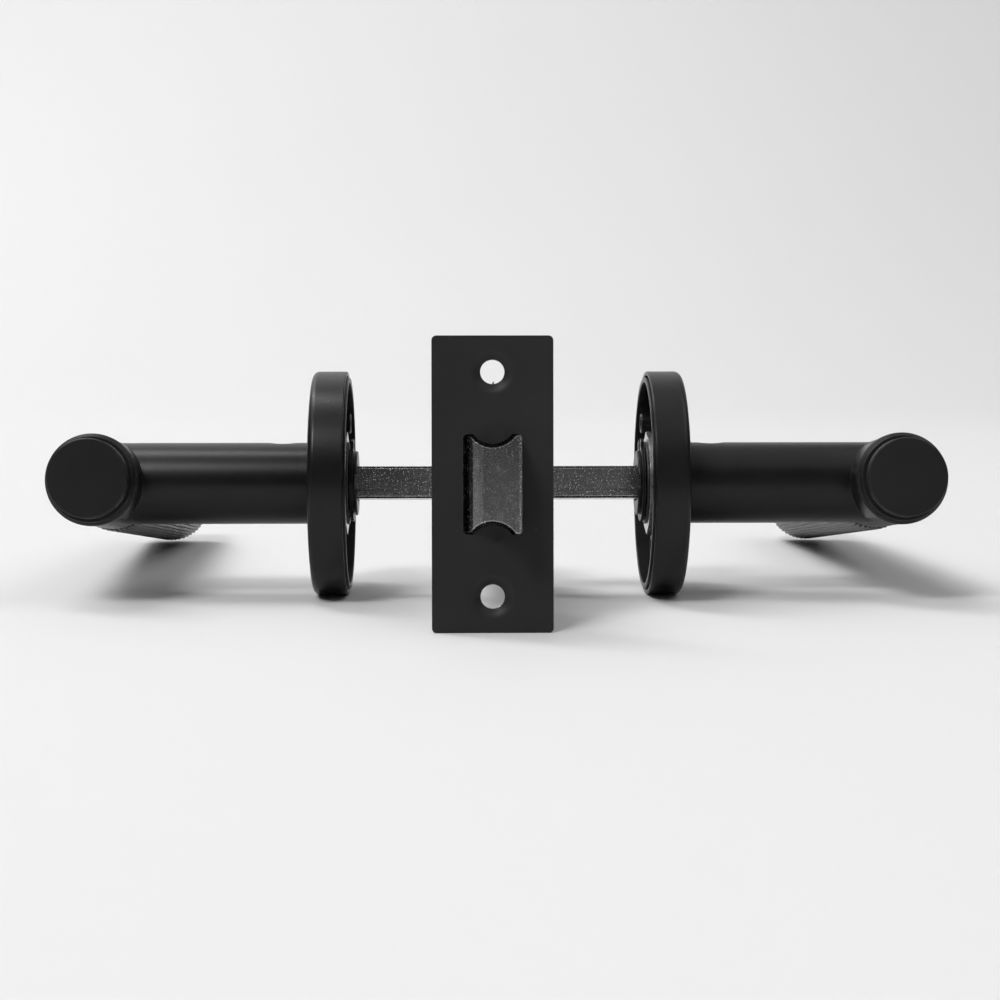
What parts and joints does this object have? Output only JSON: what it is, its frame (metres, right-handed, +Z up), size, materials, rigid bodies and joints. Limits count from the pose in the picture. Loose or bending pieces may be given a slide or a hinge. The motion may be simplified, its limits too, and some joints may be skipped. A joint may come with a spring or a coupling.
{
  "type": "door lever handle set with tubular latch",
  "caption": "Pair of black lever handles on round roses, joined by a square spindle through a tubular mortice latch with a bevelled bolt.",
  "frame": {"origin": "where the spindle's axis crosses the latch's axis, inside the door", "axes": "+X along the spindle to the right-hand handle, +Y from the faceplate into the door and along the grips, +Z up as the set stands"},
  "size_m": [0.2038, 0.1816, 0.061],
  "materials": {
    "matte_black": "matte black powder coat, fine texture",
    "zinc_plate": "zinc-plated steel, speckled and scratched",
    "bright_steel": "plain bright steel",
    "black_nylon": "moulded black nylon"
  },
  "bodies": {
    "latch_case": {"faceplate": "matte_black", "inner_plate": "zinc_plate", "latch_tube": "zinc_plate", "case_left": "zinc_plate", "case_right": "zinc_plate", "case_rivet_upper": "bright_steel", "case_rivet_lower": "bright_steel", "spring_stop": "bright_steel", "bolt_spring": "bright_steel", "follower_spring": "bright_steel"},
    "bolt_assembly": {"latch_bolt": "zinc_plate", "tail_rod": "bright_steel", "draw_yoke": "zinc_plate", "yoke_pin_upper": "bright_steel", "yoke_pin_lower": "bright_steel"},
    "spindle_drive": {"spindle": "zinc_plate", "follower": "zinc_plate"},
    "left_rose": {"left_rose_cover": "matte_black", "left_rose_base": "matte_black", "left_post_upper": "matte_black", "left_post_lower": "matte_black", "left_rose_bush": "black_nylon", "left_rose_spring": "bright_steel"},
    "right_rose": {"right_rose_cover": "matte_black", "right_rose_base": "matte_black", "right_post_upper": "matte_black", "right_post_lower": "matte_black", "right_rose_bush": "black_nylon", "right_rose_spring": "bright_steel"},
    "left_handle": {"left_lever": "matte_black", "left_grub_screw": "bright_steel", "left_front_cap": "matte_black", "left_grip_core": "matte_black", "left_knurled_grip": "matte_black", "left_rear_cap": "matte_black", "left_drive_washer": "bright_steel", "left_thrust_ring": "black_nylon", "left_circlip": "matte_black"},
    "right_handle": {"right_lever": "matte_black", "right_grub_screw": "bright_steel", "right_front_cap": "matte_black", "right_grip_core": "matte_black", "right_knurled_grip": "matte_black", "right_rear_cap": "matte_black", "right_drive_washer": "bright_steel", "right_thrust_ring": "black_nylon", "right_circlip": "matte_black"}
  },
  "joints": [
    {"name": "left_rose_slide", "type": "slide", "parent": "latch_case", "child": "left_rose", "axis": [1, 0, 0], "range_m": [0, 0.0106]},
    {"name": "right_rose_slide", "type": "slide", "parent": "latch_case", "child": "right_rose", "axis": [-1, 0, 0], "range_m": [0, 0.0148]},
    {"name": "left_lever_turn", "type": "hinge", "parent": "left_rose", "child": "left_handle", "pos_m": [-0.0326, 0, 0], "axis": [1, 0, 0], "range_deg": [0, 55], "stiffness_Nm_per_rad": 0.5, "springref_deg": -51.57, "deforming": ["left_rose_spring"]},
    {"name": "right_lever_turn", "type": "hinge", "parent": "right_rose", "child": "right_handle", "pos_m": [0.0368, 0, 0], "axis": [1, 0, 0], "range_deg": [0, 55], "deforming": ["right_rose_spring"]},
    {"name": "spindle_turn", "type": "hinge", "parent": "latch_case", "child": "spindle_drive", "pos_m": [0, 0, 0], "axis": [1, 0, 0], "range_deg": [0, 55], "deforming": ["follower_spring"]},
    {"name": "bolt_slide", "type": "slide", "parent": "latch_case", "child": "bolt_assembly", "axis": [0, 1, 0], "range_m": [0, 0.0099], "deforming": ["bolt_spring"]}
  ],
  "couplings": [
    {"joint": "right_lever_turn", "follows": "left_lever_turn", "ratio": 1},
    {"joint": "spindle_turn", "follows": "left_lever_turn", "ratio": 1},
    {"joint": "bolt_slide", "follows": "left_lever_turn", "m_per_rad": 0.010313}
  ]
}
